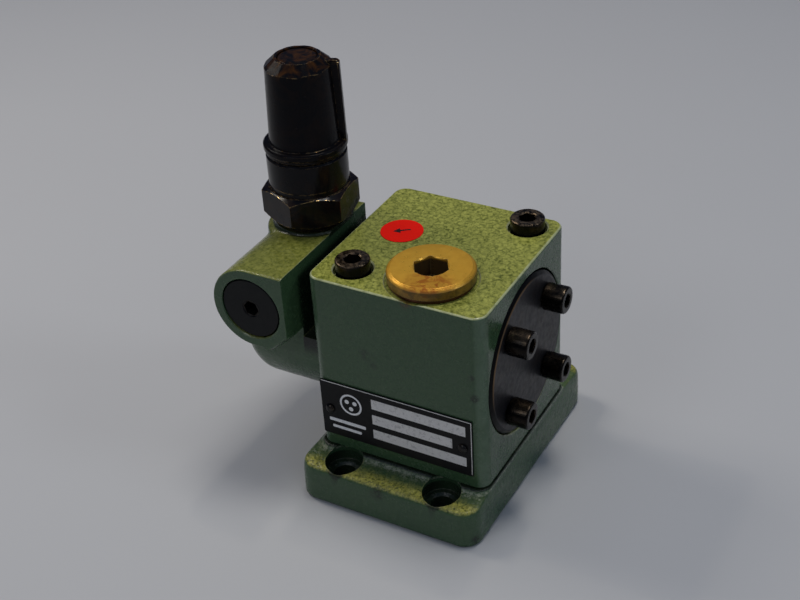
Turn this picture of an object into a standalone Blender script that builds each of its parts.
"""Hydraulic flow control valve on a cast foot, with a side-mounted pilot head.

Metres, +Z up. The origin is at floor level, on the upright centre line of the
block. The nameplate is on the front (-Y), the round end cover on the right
(+X), the pilot head on the left (-X). All dimensions below are in millimetres
and all turns in degrees.
"""
import math

import bmesh
import bpy
from mathutils import Matrix, Vector

MM = 0.001
GAP = 0.3                       # clearance between pieces that touch
OVER = 1.0                      # how far most cutters run past a face

# Shared heights and half sizes
PAD_Z = 18.5                    # top of the foot's pad, under the block
BLOCK_X, BLOCK_Y = 35.2, 35.85  # half sizes
BLOCK_Z0, BLOCK_Z1 = PAD_Z + GAP, 94.1
MAIN_Z = 58.0                   # height of the compensator bore
PORTS_X = (-14.0, 11.0)         # the two ports between foot and block, at y = 0
PORT_R = 5.0
COVER_R, COVER_X0 = 31.3, BLOCK_X - 5 + GAP     # end cover and its inner face
SPRING_POCKET_X = 31.5          # floor of the spring pocket in the end cover
MAIN_R, MAIN_END_X = 12.1, -30.0
PITCH = 15.7                    # half spacing of the cover and pilot screws
PLUG_SPOT_Z = 93.4              # spot face under the top plug
BOSS_Z = 95.3                   # top of the boss under the throttle
PILOT_THREAD_X = -20.0          # end of the tapped holes for the pilot screws

# Centre lines, as the two coordinates other than the one they run along
MAIN_LINE = (0, MAIN_Z)         # along X
BARREL_X, BARREL_Z = BARREL_LINE = (-56.4, 77.7)    # along Y
THROTTLE_X, THROTTLE_Y = THROTTLE_LINE = (-54.05, 1.1)
PLUG_X, PLUG_Y = PLUG_LINE = (7.4, -18.85)
BLOCK_SCREWS = {"block_screw_front": (-21.7, -24.15), "block_screw_rear": (23.6, 27.05)}
SCREW_SEAT_Z = 90.2             # floor of their counterbores
COVER_SCREWS = [(y, MAIN_Z + z) for z in (PITCH, -PITCH) for y in (-PITCH, PITCH)]
PILOT_SCREWS = {"pilot_screw_front": (-PITCH, MAIN_Z - PITCH),
                "pilot_screw_rear": (PITCH, MAIN_Z - PITCH),
                "pilot_screw_upper": (PITCH, MAIN_Z + PITCH)}

# Cap screw sizes: thread radius, head radius, head height, socket across flats
BLOCK_SCREW = (3.9, 6.5, 7.8, 6.0)
COVER_SCREW = (2.9, 5.3, 8.4, 5.0)
PILOT_SCREW = (2.45, 4.25, 5.0, 4.0)
KNOB_SCREW = (1.9, 3.5, 4.0, 3.0)

# Base colour, roughness, metallic
MATERIALS = {
    "green_paint": ((0.115, 0.19, 0.085), 0.4, 0.0),
    "black_oxide": ((0.02, 0.019, 0.018), 0.35, 0.6),
    "black_gloss": ((0.012, 0.011, 0.011), 0.2, 0.2),
    "brass": ((0.5, 0.32, 0.1), 0.35, 1.0),
    "steel": ((0.35, 0.35, 0.36), 0.3, 1.0),
    "rubber": ((0.02, 0.02, 0.02), 0.6, 0.0),
    "red_label": ((0.7, 0.02, 0.01), 0.5, 0.0),
    "plate_black": ((0.01, 0.01, 0.012), 0.4, 0.0),
    "copper": ((0.45, 0.22, 0.12), 0.4, 1.0),
}

# A piece along X or Y is modelled about its own Z and laid over by this turn.
LAY = {"X": (0, 90, 0), "Y": (-90, 0, 0), "Z": (0, 0, 0)}


# ---------------------------------------------------------------- scene helpers
def collection(name):
    made = bpy.data.collections.new(name)
    bpy.context.scene.collection.children.link(made)
    return made


for old in list(bpy.data.objects):
    bpy.data.objects.remove(old, do_unlink=True)
VALVE = collection("flow_control_valve")
CUTTERS = collection("cutters")
CUTTERS.hide_render = True


def material(name):
    found = bpy.data.materials.get(name)
    if found is None:
        colour, rough, metal = MATERIALS[name]
        found = bpy.data.materials.new(name)
        found.use_nodes = True
        shader = found.node_tree.nodes["Principled BSDF"]
        shader.inputs["Base Color"].default_value = (*colour, 1.0)
        shader.inputs["Roughness"].default_value = rough
        shader.inputs["Metallic"].default_value = metal
        found.diffuse_color = (*colour, 1.0)
    return found


def pose(obj, at, turn):
    obj.location = Vector(at) * MM
    obj.rotation_euler = [math.radians(angle) for angle in turn]


def add(name, mesh, look=None, at=(0, 0, 0), turn=(0, 0, 0)):
    """Links a mesh made in millimetres, as a part if it has a look, else as a helper."""
    mesh.transform(Matrix.Scale(MM, 4))
    obj = bpy.data.objects.new(name, mesh)
    pose(obj, at, turn)
    if look:
        VALVE.objects.link(obj)
        mesh.materials.append(material(look))
    else:
        CUTTERS.objects.link(obj)
        obj.hide_render = True
        obj.display_type = "WIRE"
    return obj


def mesh_from(shape, name):
    mesh = bpy.data.meshes.new(name)
    shape.normal_update()
    shape.to_mesh(mesh)
    shape.free()
    return mesh


def place(at, along, axis):
    """The point at a station along a centre line."""
    spot = list(at)
    spot.insert("XYZ".index(axis), along)
    return spot


# ---------------------------------------------------------------- shapes
def rod(name, radius, low, high, at, axis="Z", sides=24, look=None, spin=0.0):
    """A cylinder or prism from low to high along a centre line."""
    shape = bmesh.new()
    if look is None and sides > 8:
        # a round cutter's facets must not line up with the facets it cuts
        spin += 2.3 + 0.31 * sides
    bmesh.ops.create_cone(shape, cap_ends=True, segments=sides, radius1=radius,
                          radius2=radius, depth=high - low)
    bmesh.ops.rotate(shape, verts=shape.verts,
                     matrix=Matrix.Rotation(math.radians(spin), 3, "Z"))
    return add(name, mesh_from(shape, name), look, place(at, (low + high) / 2, axis), LAY[axis])


def turned(name, profile, at, axis="Z", look=None, steps=32, origin=0.0, closed=False):
    """A turned piece. Its profile of (radius, station) starts at the highest station."""
    mesh = bpy.data.meshes.new(name)
    count = len(profile)
    edges = [(i, i + 1) for i in range(count - 1)]
    if closed:
        edges.append((count - 1, 0))
    mesh.from_pydata([(radius, 0, station - origin) for radius, station in profile], edges, [])
    obj = add(name, mesh, look, place(at, origin, axis), LAY[axis])
    screw = obj.modifiers.new("turn", "SCREW")
    screw.steps = screw.render_steps = steps
    screw.use_merge_vertices = True
    screw.merge_threshold = 1e-6
    screw.use_smooth_shade = True
    return obj


def tube(name, inner, outer, low, high, at, axis, look, steps, origin):
    """A plain tube between two radii."""
    profile = [(inner, high), (outer, high), (outer, low), (inner, low)]
    return turned(name, profile, at, axis, look, steps, origin, closed=True)


def o_ring(name, radius, wire, along, at, axis="Z", steps=20):
    """A rubber ring of six-sided section; wire is the section's radius."""
    angles = [math.pi / 2 - 2 * math.pi * i / 6 for i in range(6)]
    profile = [(radius + wire * math.cos(a), along + wire * math.sin(a)) for a in angles]
    turned(name, profile, at, axis, "rubber", steps, along, closed=True)


def outline(half_x, half_y, radius, steps=4):
    """The points of a rounded rectangle, anticlockwise."""
    points = []
    for corner, (side_x, side_y) in enumerate(((1, 1), (-1, 1), (-1, -1), (1, -1))):
        for i in range(steps + 1):
            angle = math.radians(90 * (corner + i / steps))
            points.append((side_x * (half_x - radius) + radius * math.cos(angle),
                           side_y * (half_y - radius) + radius * math.sin(angle)))
    return points


def loft(name, sections, look):
    """A solid through rounded rectangles, lowest first.

    Each is (half x, half y, corner radius, z, centre x, centre y)."""
    shape = bmesh.new()
    rings = []
    for half_x, half_y, radius, z, centre_x, centre_y in sections:
        rings.append([shape.verts.new((x + centre_x, y + centre_y, z))
                      for x, y in outline(half_x, half_y, radius)])
    for below, above in zip(rings, rings[1:]):
        for i in range(len(below)):
            j = (i + 1) % len(below)
            shape.faces.new((below[i], below[j], above[j], above[i]))
    shape.faces.new(rings[0][::-1])
    shape.faces.new(rings[-1])
    return add(name, mesh_from(shape, name), look)


def hull(name, points, look=None, at=(0, 0, 0), turn=(0, 0, 0)):
    """The convex solid around some points."""
    shape = bmesh.new()
    for point in points:
        shape.verts.new(point)
    made = bmesh.ops.convex_hull(shape, input=shape.verts)
    spare = [item for item in set(made["geom_interior"] + made["geom_unused"])
             if isinstance(item, bmesh.types.BMVert)]
    bmesh.ops.delete(shape, geom=spare, context="VERTS")
    bmesh.ops.recalc_face_normals(shape, faces=shape.faces)
    return add(name, mesh_from(shape, name), look, at, turn)


def box(name, low, high, look):
    shape = bmesh.new()
    bmesh.ops.create_cube(shape, size=1.0)
    size = [b - a for a, b in zip(low, high)]
    middle = [(a + b) / 2 for a, b in zip(low, high)]
    bmesh.ops.scale(shape, vec=size, verts=shape.verts)
    bmesh.ops.translate(shape, vec=middle, verts=shape.verts)
    return add(name, mesh_from(shape, name), look)


def coil(name, radius, wire, low, high, at, axis, turns=4, per_turn=10):
    """A compression spring whose pitch tightens towards its ends."""
    curve = bpy.data.curves.new(name, "CURVE")
    curve.dimensions = "3D"
    curve.bevel_depth = wire * MM
    curve.bevel_resolution = 1
    curve.use_fill_caps = True
    count = turns * per_turn + 1
    line = curve.splines.new("POLY")
    line.points.add(count - 1)
    for i in range(count):
        share = i / (count - 1)
        eased = share - math.sin(2 * math.pi * share) / (2 * math.pi) * 0.6
        angle = 2 * math.pi * turns * share
        z = wire + (high - low - 2 * wire) * eased
        line.points[i].co = (radius * math.cos(angle) * MM, radius * math.sin(angle) * MM,
                             z * MM, 1)
    obj = bpy.data.objects.new(name, curve)
    pose(obj, place(at, low, axis), LAY[axis])
    curve.materials.append(material("steel"))
    VALVE.objects.link(obj)


# ---------------------------------------------------------------- cuts and screws
def boolean(obj, *others, how="DIFFERENCE"):
    for other in others:
        step = obj.modifiers.new(other.name, "BOOLEAN")
        step.operation = how
        step.solver = "EXACT"
        step.object = other


def bore(obj, at, axis, *cuts):
    """Cuts holes on one centre line. Each is (name, radius, low, high, sides)."""
    for name, radius, low, high, sides in cuts:
        boolean(obj, rod(name, radius, low, high, at, axis, sides))


def hex_socket(obj, name, flats, low, high, at, axis, spin):
    boolean(obj, rod(name, flats / math.sqrt(3), low, high, at, axis, sides=6, spin=spin))


def cap_screw(name, size, seat, tip, at, axis, side=1):
    """A socket-head screw. seat is under its head, side is the way its head points."""
    thread_r, head_r, head_h, flats = size
    top = seat + side * head_h
    half = [(0, top), (head_r - 0.5, top), (head_r, top - side * 0.5), (head_r, seat),
            (thread_r, seat), (thread_r, tip + side * 0.8), (thread_r - 0.8, tip), (0, tip)]
    if side < 0:
        half = half[::-1]
    obj = turned(name, half, at, axis, "black_oxide", 18, seat)
    low, high = sorted((top - side * head_h * 0.55, top + side))
    hex_socket(obj, name + "_socket", flats, low, high, at, axis, 15)


# ---------------------------------------------------------------- foot
FOOT_X, FOOT_Y = 38.0, 51.9     # half sizes just above the floor
FOOT_CX, FOOT_CY = -1.5, 2.7    # its centre, a little off the block's
LEDGE_Z = 16.5                  # top of the ledge with the fixing holes
FOOT_HOLES = [(x, y) for y in (-41.2, 46.6) for x in (-22.4, 19.4)]
FOOT_CUT_Z = 20.0               # top of the cutters that open upwards
GROOVE_R, GROOVE_DEPTH = 9.5, 1.9
FOOT_SECTIONS = [               # columns as in loft
    (FOOT_X - 0.6, FOOT_Y - 0.6, 5.4, 0.0, FOOT_CX, FOOT_CY),
    (FOOT_X, FOOT_Y, 6.0, 0.8, FOOT_CX, FOOT_CY),
    (37.6, FOOT_Y - 0.3, 6.0, 12.0, FOOT_CX, FOOT_CY),
    (37.2, FOOT_Y - 1.5, 6.0, 14.9, -1.4, FOOT_CY),
    (36.5, FOOT_Y - 4.2, 6.0, LEDGE_Z, -1.0, FOOT_CY),
    (36.0, 40.2, 6.0, LEDGE_Z + 0.1, -0.6, 0),
    (35.8, 37.6, 6.0, 17.1, -0.3, 0),
    (35.6, 36.4, 5.2, PAD_Z - 0.3, 0, 0),
    (35.5, 36.2, 5.2, PAD_Z, 0, 0),
]


def make_foot():
    foot = loft("base_plate", FOOT_SECTIONS, "green_paint")
    for i, at in enumerate(FOOT_HOLES):
        bore(foot, at, "Z", (f"foot_bore_{i}", 4.5, -OVER, 13, 20),
             (f"foot_sink_{i}", 7.4, 11.0, FOOT_CUT_Z, 24))
    for i, x in enumerate(PORTS_X):
        at = (x, 0)
        bore(foot, at, "Z", (f"foot_port_{i}", PORT_R, -OVER, FOOT_CUT_Z, 20),
             (f"foot_face_groove_{i}", GROOVE_R, -OVER, GROOVE_DEPTH, 24),
             (f"foot_pad_groove_{i}", GROOVE_R, PAD_Z - GROOVE_DEPTH, FOOT_CUT_Z, 24))
        o_ring(f"port_o_ring_{'ab'[i]}", 8.0, 0.8, 1.0, at)
        o_ring(f"joint_o_ring_{'ab'[i]}", 8.0, 0.8, PAD_Z - 0.95, at)
    for name, at in BLOCK_SCREWS.items():
        bore(foot, at, "Z", (name + "_thread", 4.2, 4.4, FOOT_CUT_Z, 16))


# ---------------------------------------------------------------- block
BLOCK_R = 5.0                   # upright corner radius
BLOCK_EDGES = [                 # inset, z
    (0.5, BLOCK_Z0), (0, BLOCK_Z0 + 0.5), (0, BLOCK_Z1 - 1.0), (0.3, BLOCK_Z1 - 0.3),
    (1.0, BLOCK_Z1)]
BELOW_BLOCK, ABOVE_BLOCK = 10.0, 96.0   # ends of the upright cutters


def make_block():
    body = loft("valve_block", [(BLOCK_X - inset, BLOCK_Y - inset, BLOCK_R - inset, z, 0, 0)
                                for inset, z in BLOCK_EDGES], "green_paint")
    bore(body, MAIN_LINE, "X",
         ("cover_recess", COVER_R + 0.4, BLOCK_X - 5, BLOCK_X + OVER, 36),
         ("main_bore", MAIN_R, MAIN_END_X, BLOCK_X, 28),
         ("pilot_passage", 5.0, -BLOCK_X - OVER, MAIN_END_X + OVER, 16))
    for i, at in enumerate(COVER_SCREWS):
        bore(body, at, "X", (f"cover_thread_{i}", 3.2, 15, BLOCK_X, 16))
    for name, at in PILOT_SCREWS.items():
        bore(body, at, "X", (name + "_thread", 2.8, -BLOCK_X - OVER, PILOT_THREAD_X, 16))
    for name, at in BLOCK_SCREWS.items():
        bore(body, at, "Z", (name + "_way", 4.4, BELOW_BLOCK, 92, 16),
             (name + "_sink", 7.4, SCREW_SEAT_Z, ABOVE_BLOCK, 24))
    bore(body, PLUG_LINE, "Z",
         ("plug_spot", 17.0, PLUG_SPOT_Z, ABOVE_BLOCK, 28),
         ("plug_thread", 13.3, 78.6, 95, 24),
         ("plug_drop", 6.0, MAIN_Z - 6, 80, 16))
    bore(body, (PLUG_X, MAIN_Z), "Y", ("plug_cross", 5.5, PLUG_Y, -8, 16))
    for i, x in enumerate(PORTS_X):
        bore(body, (x, 0), "Z", (f"block_port_{i}", PORT_R, BELOW_BLOCK, MAIN_Z - 8, 20))
    return body


# ---------------------------------------------------------------- pieces on top of the block
PLUG_SEAL_TOP = 95.0
PLUG_SEAT_Z = PLUG_SEAL_TOP + GAP       # underside of the plug's head
PLUG_TOP, PLUG_END = 99.4, 79.2
PLUG_PROFILE = [                # radius, z
    (0, PLUG_TOP), (15.3, PLUG_TOP), (16.1, PLUG_TOP - 0.8), (16.1, PLUG_SEAT_Z),
    (13.0, PLUG_SEAT_Z), (13.0, PLUG_END + 1), (12.0, PLUG_END), (0, PLUG_END)]


def make_block_screws():
    for name, at in BLOCK_SCREWS.items():
        cap_screw(name, BLOCK_SCREW, SCREW_SEAT_Z + GAP, 5.5, at, "Z")


def make_top_plug():
    tube("top_plug_seal", 13.7, 16.5, PLUG_SPOT_Z + GAP, PLUG_SEAL_TOP, PLUG_LINE, "Z",
         "copper", 28, 94)
    plug = turned("top_port_plug", PLUG_PROFILE, PLUG_LINE, "Z", "brass", 32, PLUG_SEAT_Z)
    hex_socket(plug, "top_plug_socket", 12.0, 90.5, 100, PLUG_LINE, "Z", 31)


def make_marker():
    rod("port_marker_disc", 8.1, BLOCK_Z1 + 0.1, BLOCK_Z1 + 0.35, (-17.8, 5.4),
        sides=28, look="red_label")


# ---------------------------------------------------------------- end cover
COVER_X1 = BLOCK_X + 0.8        # outer face, a little proud of the block
SPIGOT_R, SPIGOT_X = MAIN_R - GAP, 26.0
POCKET_R = 9.6
COVER_PROFILE = [               # radius, x
    (0, COVER_X1), (COVER_R - 0.9, COVER_X1), (COVER_R, COVER_X1 - 0.9), (COVER_R, COVER_X0),
    (SPIGOT_R, COVER_X0), (SPIGOT_R, SPIGOT_X), (POCKET_R, SPIGOT_X),
    (POCKET_R, SPRING_POCKET_X), (0, SPRING_POCKET_X)]


def make_end_cover():
    cover = turned("end_cover", COVER_PROFILE, MAIN_LINE, "X", "black_oxide", 36, COVER_X0)
    boolean(cover, tube("cover_groove", 13.8, 17.2, COVER_X0 - OVER, COVER_X0 + 2,
                        MAIN_LINE, "X", None, 28, COVER_X0))
    o_ring("cover_o_ring", 15.5, 0.9, COVER_X0 + 0.85, MAIN_LINE, "X", 28)
    for i, at in enumerate(COVER_SCREWS):
        bore(cover, at, "X", (f"cover_way_{i}", 3.3, 20, 45, 16))
        cap_screw(f"cover_screw_{i + 1}", COVER_SCREW, COVER_X1 + GAP, 18, at, "X")


# ---------------------------------------------------------------- nameplate
PLATE_BACK = -BLOCK_Y - 0.1
PLATE_FRONT = PLATE_BACK - 0.5
RIVETS = {"nameplate_rivet_left": (-29.2, 36.6), "nameplate_rivet_right": (26.6, 36.6)}
RIVET_HOLE_R, RIVET_R, RIVET_END = 1.15, 0.9, -32.0


def make_nameplate(body):
    plate = box("nameplate", (-32.9, PLATE_FRONT, 24.4), (30.5, PLATE_BACK, 49.5),
                "plate_black")
    head = PLATE_FRONT - 0.1    # back of the rivet heads
    profile = [(0, RIVET_END), (RIVET_R, RIVET_END), (RIVET_R, head), (1.9, head),
               (1.75, head - 0.5), (1.1, head - 0.95), (0, head - 1.1)]
    for name, at in RIVETS.items():
        bore(plate, at, "Y", (name + "_plate_hole", RIVET_HOLE_R, -40, -34, 12))
        bore(body, at, "Y", (name + "_block_hole", RIVET_HOLE_R, -40, RIVET_END + 1, 12))
        turned(name, profile, at, "Y", "black_gloss", 12, head)


# ---------------------------------------------------------------- pilot housing
PILOT_FACE_X = -BLOCK_X - GAP   # the face against the block
PILOT_CUT_X = -34.0             # end of the cutters that run past that face
BARREL_R, BARREL_Y0, BARREL_Y1 = 16.3, -42.25, 18.8
BARREL_SIDE_X = -41.5           # flat right side of the barrel
BARREL_EDGE = 0.6
DRUM_R, DRUM_X, DRUM_ROUND = 32.0, -71.2, 8.0   # round lower body, along X
BOSS_R = 14.4
PILOT_SEAT_X = -60.0            # floor of the pilot screws' counterbores


def barrel_points():
    """Sections with a half-round left side, flat on the right with a slanted lower corner."""
    points = []
    for y, inset in ((BARREL_Y0, BARREL_EDGE), (BARREL_Y0 + BARREL_EDGE, 0), (BARREL_Y1, 0)):
        radius = BARREL_R - inset
        side_x = BARREL_SIDE_X - inset
        for i in range(25):
            angle = math.radians(90 + 180 * i / 24)
            points.append((BARREL_X + radius * math.cos(angle), y,
                           BARREL_Z + radius * math.sin(angle)))
        points += [(side_x - 0.6, y, BARREL_Z + radius), (side_x, y, BARREL_Z + radius - 0.6),
                   (side_x, y, BARREL_Z - 9.0), (side_x - 8.0, y, BARREL_Z - radius)]
    return points


def make_drum():
    arc = [(DRUM_R - DRUM_ROUND * (1 - math.cos(angle)), DRUM_X + DRUM_ROUND * (1 - math.sin(angle)))
           for angle in map(math.radians, (0, 22.5, 45, 67.5, 90))]
    profile = [(0, PILOT_FACE_X), (DRUM_R - 0.4, PILOT_FACE_X), (DRUM_R, PILOT_FACE_X - 0.4),
               *arc, (0, DRUM_X)]
    return turned("drum_body", profile, MAIN_LINE, "X", origin=PILOT_FACE_X)


def make_boss():
    profile = [(0, BOSS_Z), (BOSS_R - 0.4, BOSS_Z), (BOSS_R, BOSS_Z - 0.4), (BOSS_R, 94.8),
               (BOSS_R + 1.2, 93.2), (BOSS_R + 1.2, 80), (0, 80)]
    return turned("boss_body", profile, THROTTLE_LINE, steps=28)


def make_pilot():
    pilot = hull("pilot_housing", barrel_points(), "green_paint")
    boolean(pilot, make_drum(), make_boss(), how="UNION")
    bore(pilot, BARREL_LINE, "Y",
         ("front_plug_thread", 12.55, BARREL_Y0 - OVER, -31, 24),
         ("check_bore", 8.4, -32, -9, 20),
         ("check_seat_bore", 5.0, -10, THROTTLE_Y, 16))
    bore(pilot, THROTTLE_LINE, "Z",
         ("gland_thread", 11.3, 84, 97, 24),
         ("needle_chamber", 8.2, 66, 85, 20),
         ("throttle_drop", 5.2, MAIN_Z - 5, 67, 16))
    bore(pilot, MAIN_LINE, "X",
         ("throttle_cross", 5.0, THROTTLE_X, PILOT_CUT_X, 16),
         ("pilot_groove", 10.4, PILOT_FACE_X - 1.8, PILOT_CUT_X, 22))
    for name, at in PILOT_SCREWS.items():
        bore(pilot, at, "X", (name + "_sink", 4.8, -78, PILOT_SEAT_X, 16),
             (name + "_way", 2.9, -62, PILOT_CUT_X, 12))
        cap_screw(name, PILOT_SCREW, PILOT_SEAT_X - GAP, PILOT_THREAD_X - GAP, at, "X", side=-1)
    o_ring("pilot_o_ring", 8.6, 0.75, PILOT_FACE_X - 0.85, MAIN_LINE, "X")


# ---------------------------------------------------------------- front plug and check valve
PLUG_FACE_Y, PLUG_BACK_Y = BARREL_Y0 + 0.4, -31.8
POPPET_BACK_Y = -22.0
FRONT_PLUG_PROFILE = [          # radius, y
    (0, PLUG_BACK_Y), (9.4, PLUG_BACK_Y), (9.4, -34.2), (12.2, -34.2),
    (12.2, PLUG_FACE_Y + 0.4), (11.8, PLUG_FACE_Y), (0, PLUG_FACE_Y)]
POPPET_PROFILE = [              # radius, y
    (0, -7.6), (3.0, -9.2), (4.8, -9.5), (7.6, -12.4), (8.05, -13.0),
    (8.05, POPPET_BACK_Y), (0, POPPET_BACK_Y)]


def make_front_plug():
    plug = turned("front_plug", FRONT_PLUG_PROFILE, BARREL_LINE, "Y", "black_oxide", 28,
                  PLUG_FACE_Y)
    hex_socket(plug, "front_plug_socket", 5.6, BARREL_Y0 - OVER, PLUG_FACE_Y + 5,
               BARREL_LINE, "Y", 10)
    o_ring("front_plug_o_ring", 11.0, 0.85, -32.6, BARREL_LINE, "Y")


def make_check_valve():
    coil("check_spring", 5.6, 0.6, PLUG_BACK_Y + GAP, POPPET_BACK_Y - GAP, BARREL_LINE, "Y")
    turned("check_poppet", POPPET_PROFILE, BARREL_LINE, "Y", "steel", 20, POPPET_BACK_Y)


# ---------------------------------------------------------------- throttle, upright
WASHER_Z0, WASHER_Z1 = BOSS_Z + GAP, 97.8
HEX_FLATS, HEX_Z0, HEX_Z1, HEX_TURN = 32.0, WASHER_Z1 + GAP, 110.1, 8.0
NECK_R, NECK_Z = 15.2, 123.6
GUIDE_Z = 112.0                 # top of the wide bore inside the gland
FLANGE_Z = GUIDE_Z - GAP        # top of the spindle's flange
KNOB_Z0, KNOB_Z1 = NECK_Z + GAP, 160.7
KNOB_SINK_Z = 153.0             # floor of the knob screw's counterbore
DISC_R, DISC_SEAT_Z = 7.4, 159.4
RIB_TURN = 22.0

# Profiles of (radius, z)
NEEDLE_PROFILE = [
    (0, 98.0), (6.9, 98.0), (6.9, 84.6), (4.0, 83.6), (4.0, 73.5), (3.1, 70.5), (1.0, 66.0),
    (0, 66.0)]
HEX_PROFILE = [
    (0, HEX_Z1 + 1), (15.8, HEX_Z1 + 1), (15.8, HEX_Z1), (18.7, HEX_Z1 - 1.7),
    (18.7, HEX_Z0 + 1.7), (15.8, HEX_Z0), (15.8, HEX_Z0 - 1), (0, HEX_Z0 - 1)]
NECK_PROFILE = [
    (0, NECK_Z), (14.6, NECK_Z), (NECK_R, NECK_Z - 0.6), (NECK_R, 104), (10.9, 103.9),
    (10.9, 85.2), (10.2, 84.4), (0, 84.4)]
SPINDLE_PROFILE = [
    (0, 150.0), (3.9, 150.0), (4.4, 149.5), (4.4, FLANGE_Z), (6.8, FLANGE_Z), (6.8, 108.5),
    (3.1, 108.5), (3.1, 89.4), (0, 88.8)]
KNOB_PROFILE = [
    (0, KNOB_Z1), (8.0, KNOB_Z1), (8.5, KNOB_Z1 - 0.3), (11.6, 157.6), (12.1, 156.7),
    (13.4, 128.3), (15.2, 128.2), (15.7, 127.7), (15.7, 125.5), (15.2, 125.2), (15.2, 124.3),
    (14.8, KNOB_Z0), (0, KNOB_Z0)]
DISC_PROFILE = [
    (0, 160.6), (6.6, 160.5), (DISC_R - GAP, 160.2), (DISC_R - GAP, DISC_SEAT_Z + GAP),
    (0, DISC_SEAT_Z + GAP)]
RIB_OUTLINE = [(9.5, 127.0), (15.6, 127.0), (15.1, 158.6), (14.5, 159.2), (9.5, 159.2)]


def make_needle():
    tube("throttle_seat", 3.5, 7.9, 66.3, 71.0, THROTTLE_LINE, "Z", "steel", 20, 66.3)
    needle = turned("throttle_needle", NEEDLE_PROFILE, THROTTLE_LINE, "Z", "steel", 20, 66.0)
    bore(needle, THROTTLE_LINE, "Z", ("needle_thread", 3.45, 83.9, 99, 16))


def make_gland():
    """A chamfered hexagon joined to its round neck and threaded end, then bored."""
    tube("gland_washer", 11.5, 13.8, WASHER_Z0, WASHER_Z1, THROTTLE_LINE, "Z",
         "black_oxide", 28, WASHER_Z0)
    gland = rod("gland_nut", HEX_FLATS / math.sqrt(3), HEX_Z0, HEX_Z1, THROTTLE_LINE,
                sides=6, look="black_gloss", spin=HEX_TURN)
    boolean(gland, turned("hexagon_chamfer", HEX_PROFILE, THROTTLE_LINE, steps=24),
            how="INTERSECT")
    boolean(gland, turned("gland_neck", NECK_PROFILE, THROTTLE_LINE, steps=28), how="UNION")
    bore(gland, THROTTLE_LINE, "Z",
         ("needle_guide", 7.2, 80, GUIDE_Z, 20),
         ("spindle_way", 4.75, 100, 130, 16),
         ("spindle_groove", 6.6, 116.4, 118.6, 20))


def make_spindle():
    spindle = turned("adjusting_spindle", SPINDLE_PROFILE, THROTTLE_LINE, "Z", "steel", 18,
                     FLANGE_Z)
    bore(spindle, THROTTLE_LINE, "Z", ("spindle_tapping", 2.1, 136.5, 151, 12))
    o_ring("spindle_o_ring", 5.55, 0.75, 117.5, THROTTLE_LINE)


def make_knob():
    knob = turned("adjusting_knob", KNOB_PROFILE, THROTTLE_LINE, "Z", "black_gloss", 32, KNOB_Z0)
    rib = hull("knob_rib", [(x, y, z) for y in (-1.5, 1.5) for x, z in RIB_OUTLINE],
               at=(*THROTTLE_LINE, 0), turn=(0, 0, RIB_TURN))
    boolean(knob, rib, how="UNION")
    bore(knob, THROTTLE_LINE, "Z",
         ("knob_bore", 4.7, 120, 150.4, 16),
         ("knob_screw_way", 2.4, 150, 154, 12),
         ("knob_screw_sink", 4.2, KNOB_SINK_Z, 162, 16),
         ("knob_disc_seat", DISC_R, DISC_SEAT_Z, 162, 24))
    cap_screw("knob_screw", KNOB_SCREW, KNOB_SINK_Z + GAP, 140, THROTTLE_LINE, "Z")
    turned("knob_top_disc", DISC_PROFILE, THROTTLE_LINE, "Z", "black_gloss", 28,
           DISC_SEAT_Z + GAP)


# ---------------------------------------------------------------- compensator
LAND_R, WAIST_R = 11.75, 7.0    # the spool's three lands and the waists between them
SPOOL_X0, SPOOL_X1 = MAIN_END_X + GAP, 20.0
SPOOL_PROFILE = [               # radius, x
    (0, SPOOL_X1), (11.0, SPOOL_X1), (LAND_R, 19.3), (LAND_R, 16.0),
    (WAIST_R, 15.6), (WAIST_R, 4.4), (LAND_R, 4.0), (LAND_R, -8.0),
    (WAIST_R, -8.4), (WAIST_R, -19.6), (LAND_R, -20.0), (LAND_R, -29.0),
    (11.0, SPOOL_X0), (0, SPOOL_X0)]


def make_compensator():
    turned("compensator_spool", SPOOL_PROFILE, MAIN_LINE, "X", "steel", 24, SPOOL_X1)
    coil("compensator_spring", 7.8, 0.8, SPOOL_X1 + GAP, SPRING_POCKET_X - GAP, MAIN_LINE, "X")


make_foot()
valve_body = make_block()
make_block_screws()
make_top_plug()
make_marker()
make_end_cover()
make_nameplate(valve_body)
make_pilot()
make_front_plug()
make_check_valve()
make_needle()
make_gland()
make_spindle()
make_knob()
make_compensator()
